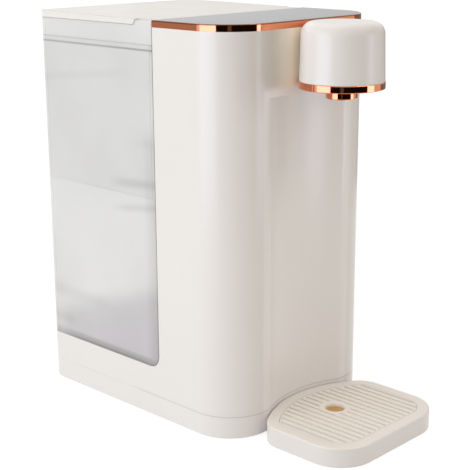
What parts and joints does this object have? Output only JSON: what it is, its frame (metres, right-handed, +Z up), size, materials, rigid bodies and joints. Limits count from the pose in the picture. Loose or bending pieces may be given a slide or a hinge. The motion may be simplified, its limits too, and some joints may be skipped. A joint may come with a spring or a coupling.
{
  "type": "hot water dispenser",
  "caption": "Countertop hot water dispenser: slim white tower with round tap head, rear lift-off tank with hinged lid, and a slotted drip tray.",
  "frame": {"origin": "on the worktop, under the middle of the whole appliance with its drip tray", "axes": "+Z up, -Y to the front where the cup stands, +X to the right of someone who looks along +Y"},
  "size_m": [0.1628, 0.2904, 0.3011],
  "materials": {
    "body_shell": "glossy warm white moulded plastic",
    "base_plastic": "glossy warm white moulded plastic",
    "foot_rubber": "soft grey rubber",
    "screw_steel": "zinc plated steel",
    "inner_plastic": "plain moulded inner plastic",
    "copper_plate": "polished rose copper plating",
    "panel_glass": "dark backed mirror-gloss glass",
    "circuit_board": "green circuit board with parts",
    "touch_foam": "black conductive foam",
    "spout_silicone": "food grade silicone",
    "heater_steel": "drawn stainless steel",
    "heater_cap": "black glass filled plastic",
    "pump_body": "black pump plastic",
    "motor_steel": "plated motor can",
    "hose_silicone": "milky silicone hose",
    "heat_sink": "extruded aluminium",
    "gland_plastic": "white strain relief plastic",
    "tank_clear": "clear, slightly frosted tank plastic",
    "valve_plastic": "white valve plastic",
    "seal_silicone": "soft silicone seal",
    "spring_steel": "stainless spring wire",
    "magnet_black": "coated magnet",
    "lid_plastic": "glossy warm white moulded plastic",
    "tray_plastic": "satin-gloss warm white moulded plastic",
    "grille_plastic": "satin warm white moulded plastic"
  },
  "bodies": {
    "housing": {"tower_shell": "body_shell", "base_deck": "body_shell", "base_pan": "base_plastic", "foot_pads": "foot_rubber", "base_screws": "screw_steel", "top_deck": "inner_plastic", "trim_band": "copper_plate", "touch_panel": "panel_glass", "touch_board": "circuit_board", "touch_pads": "touch_foam", "tap_head_shell": "body_shell", "tap_head_ring": "copper_plate", "tap_head_plate": "inner_plastic", "tap_head_bracket": "inner_plastic", "nozzle_collar": "copper_plate", "outlet_spout": "spout_silicone", "heater_tube": "heater_steel", "heater_caps": "heater_cap", "heater_bracket": "screw_steel", "thermal_cutouts": "heater_cap", "pump_motor": "motor_steel", "pump_motor_rings": "touch_foam", "pump_head": "pump_body", "tank_seat": "inner_plastic", "tank_seat_seal": "seal_silicone", "flow_sensor": "pump_body", "inlet_hose": "hose_silicone", "suction_hose": "hose_silicone", "pressure_hose": "hose_silicone", "outlet_hose": "hose_silicone", "hose_clips": "spring_steel", "power_board": "circuit_board", "power_heat_sink": "heat_sink", "board_standoffs": "inner_plastic", "level_reed_sensor": "heater_cap", "cord_gland": "gland_plastic"},
    "tank": {"tank_shell": "tank_clear", "valve_housing": "valve_plastic", "outlet_strainer": "valve_plastic", "valve_spring": "spring_steel", "float_post": "valve_plastic"},
    "valve": {"valve_plunger": "valve_plastic", "valve_seal": "seal_silicone"},
    "level_float": {"level_float": "valve_plastic", "float_magnet": "magnet_black"},
    "lid": {"tank_lid": "lid_plastic", "lid_gasket": "seal_silicone"},
    "tray": {"tray_basin": "tray_plastic"},
    "grille": {"tray_grille": "grille_plastic"},
    "pump_rotor": {"pump_rotor": "valve_plastic"},
    "flow_turbine": {"flow_turbine": "valve_plastic"}
  },
  "joints": [
    {"name": "tank_lift", "type": "slide", "parent": "housing", "child": "tank", "axis": [0, 0, 1], "range_m": [0, 0.27]},
    {"name": "valve_stroke", "type": "slide", "parent": "tank", "child": "valve", "axis": [0, 0, -1], "range_m": [0, 0.003], "deforming": ["valve_spring"]},
    {"name": "float_rise", "type": "slide", "parent": "tank", "child": "level_float", "axis": [0, 0, 1], "range_m": [0, 0.013]},
    {"name": "lid_hinge", "type": "hinge", "parent": "tank", "child": "lid", "pos_m": [0, 0.0212, 0.296], "axis": [1, 0, 0], "range_deg": [0, 95]},
    {"name": "tray_pull", "type": "slide", "parent": "housing", "child": "tray", "axis": [0, -1, 0], "range_m": [0, 0.12]},
    {"name": "grille_lift", "type": "slide", "parent": "tray", "child": "grille", "axis": [0, 0, 1], "range_m": [0, 0.05]},
    {"name": "pump_spin", "type": "hinge", "parent": "housing", "child": "pump_rotor", "pos_m": [0.018, 0.0978, 0.0205], "axis": [1, 0, 0], "continuous": true},
    {"name": "turbine_spin", "type": "hinge", "parent": "housing", "child": "flow_turbine", "pos_m": [0.0433, 0.0498, 0.028], "axis": [1, 0, 0], "continuous": true}
  ],
  "couplings": [
    {"joint": "valve_stroke", "follows": "tank_lift", "ratio": 0.0111}
  ]
}
